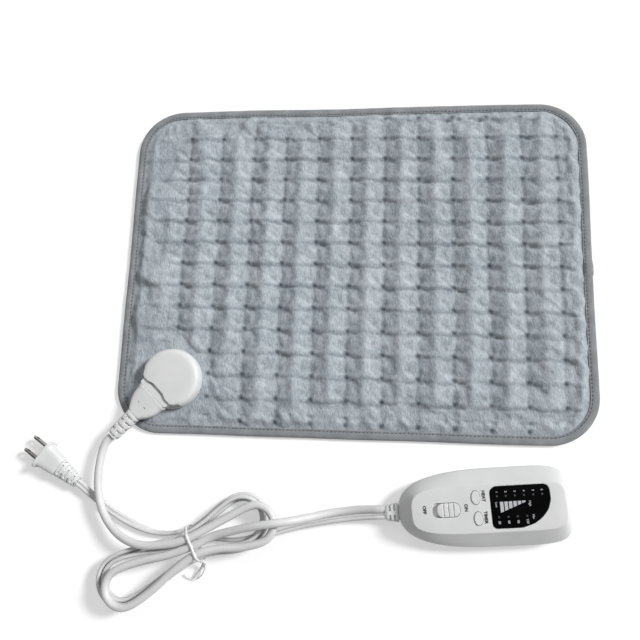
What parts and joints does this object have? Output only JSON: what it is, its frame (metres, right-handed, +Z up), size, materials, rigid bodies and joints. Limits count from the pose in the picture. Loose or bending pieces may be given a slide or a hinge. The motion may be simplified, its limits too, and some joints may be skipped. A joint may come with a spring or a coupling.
{
  "type": "heating pad with controller",
  "caption": "Quilted electric heating pad with a corner socket, a pull-off connector, a tied hank of cord, a hand controller with slide switch, buttons and window, and a mains plug.",
  "frame": {"origin": "centre of the pad, on its underside", "axes": "+Z up through the pad, +X along its long side, +Y along its short side away from the controller"},
  "size_m": [0.475, 0.4347, 0.0281],
  "materials": {
    "plush": "short plush pile",
    "binding": "woven tape",
    "felt": "pressed felt",
    "wire_jacket": "smooth",
    "white_plastic": "fine satin",
    "cord_jacket": "smooth",
    "tie_paper": "matt",
    "black_plastic": "satin",
    "dark_window": "polished",
    "contact_metal": "plated",
    "screw_steel": "zinc plated",
    "board": "solder mask",
    "film_case": "dipped",
    "fuse_glass": "clear with metal ends",
    "lamp": "moulded"
  },
  "bodies": {
    "pad": {"bottom_cover": "plush", "wire_carrier": "felt", "heating_wire": "wire_jacket", "crimp_sleeve_right": "contact_metal", "crimp_sleeve_left": "contact_metal", "top_cover": "plush", "edge_binding": "binding", "socket_base": "white_plastic", "socket_cap": "white_plastic", "socket_clamp_plate": "white_plastic", "pin_block": "black_plastic", "thermal_fuse": "black_plastic", "socket_screw_1": "screw_steel", "socket_screw_2": "screw_steel", "socket_pin_1": "contact_metal", "socket_pin_2": "contact_metal", "socket_pin_3": "contact_metal"},
    "control_lead": {"connector_body": "white_plastic", "connector_strain_relief": "white_plastic", "controller_top_shell": "white_plastic", "controller_bottom_shell": "white_plastic", "controller_strain_relief": "white_plastic", "plug_body": "white_plastic", "plug_strain_relief": "white_plastic", "pad_cord_lead": "cord_jacket", "pad_cord_hank": "cord_jacket", "pad_cord_tail": "cord_jacket", "mains_cord_lead": "cord_jacket", "mains_cord_hank": "cord_jacket", "mains_cord_tail": "cord_jacket", "twist_tie": "tie_paper", "connector_insert": "black_plastic", "light_mask": "black_plastic", "slide_switch_body": "black_plastic", "filter_capacitor": "black_plastic", "triac": "black_plastic", "control_chip": "black_plastic", "cord_clamp": "black_plastic", "display_window": "dark_window", "plug_blade_1": "contact_metal", "plug_blade_2": "contact_metal", "connector_contact_1": "contact_metal", "connector_contact_2": "contact_metal", "connector_contact_3": "contact_metal", "heat_switch_body": "contact_metal", "timer_switch_body": "contact_metal", "case_screw_1": "screw_steel", "case_screw_2": "screw_steel", "case_screw_3": "screw_steel", "case_screw_4": "screw_steel", "circuit_board": "board", "film_capacitor": "film_case", "fuse": "fuse_glass", "level_light_strip": "lamp", "timer_light_strip": "lamp"},
    "power_slider": {"power_knob": "white_plastic"},
    "heat_button": {"heat_button_cap": "white_plastic", "heat_plunger": "black_plastic"},
    "timer_button": {"timer_button_cap": "white_plastic", "timer_plunger": "black_plastic"}
  },
  "joints": [
    {"name": "connector_unplug", "type": "slide", "parent": "pad", "child": "control_lead", "axis": [-0.6921, -0.7218, 0], "range_m": [0, 0.02]},
    {"name": "power_slide", "type": "slide", "parent": "control_lead", "child": "power_slider", "axis": [-0.9956, -0.0941, 0], "range_m": [0, 0.0034]},
    {"name": "heat_press", "type": "slide", "parent": "control_lead", "child": "heat_button", "axis": [0, 0, -1], "range_m": [0, 0.0008], "stiffness_N_per_m": 1500},
    {"name": "timer_press", "type": "slide", "parent": "control_lead", "child": "timer_button", "axis": [0, 0, -1], "range_m": [0, 0.0008], "stiffness_N_per_m": 1500}
  ]
}
